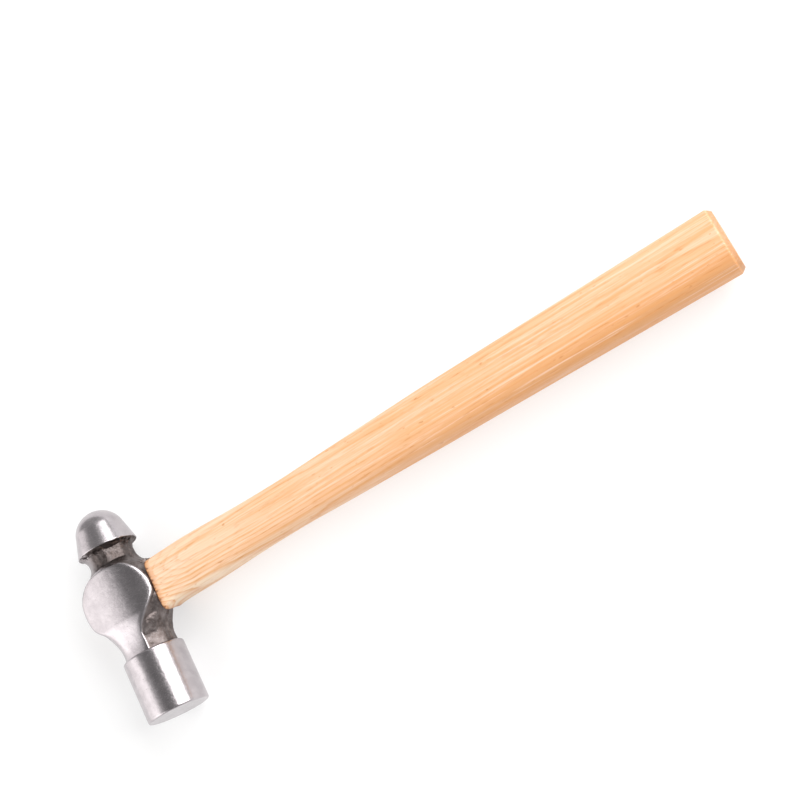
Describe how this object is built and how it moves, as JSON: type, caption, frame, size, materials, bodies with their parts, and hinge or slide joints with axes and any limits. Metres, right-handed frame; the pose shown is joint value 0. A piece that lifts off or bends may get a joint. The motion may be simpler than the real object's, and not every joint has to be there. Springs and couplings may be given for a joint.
{
  "type": "ball peen hammer",
  "caption": "Ball peen hammer: forged steel head with a round flat poll and a ball peen, wedged on a shaped ash handle.",
  "frame": {"origin": "bottom centre of the hammer's bounding box, as it lies on its side", "axes": "+X along the handle to its butt, -Y out of the striking face, +Y out of the peen, +Z out of the upper cheek"},
  "size_m": [0.33, 0.101, 0.0292],
  "materials": {
    "forged_steel": "drop forged, with belt-ground poll, cheeks and peen",
    "ash_wood": "sanded ash with a thin clear lacquer",
    "wedge_wood": "sawn hardwood",
    "wedge_steel": "plain rolled steel"
  },
  "bodies": {
    "root": {"hammer_head": "forged_steel", "handle": "ash_wood", "wooden_wedge": "wedge_wood", "steel_wedge_peen": "wedge_steel", "steel_wedge_poll": "wedge_steel"}
  },
  "joints": []
}
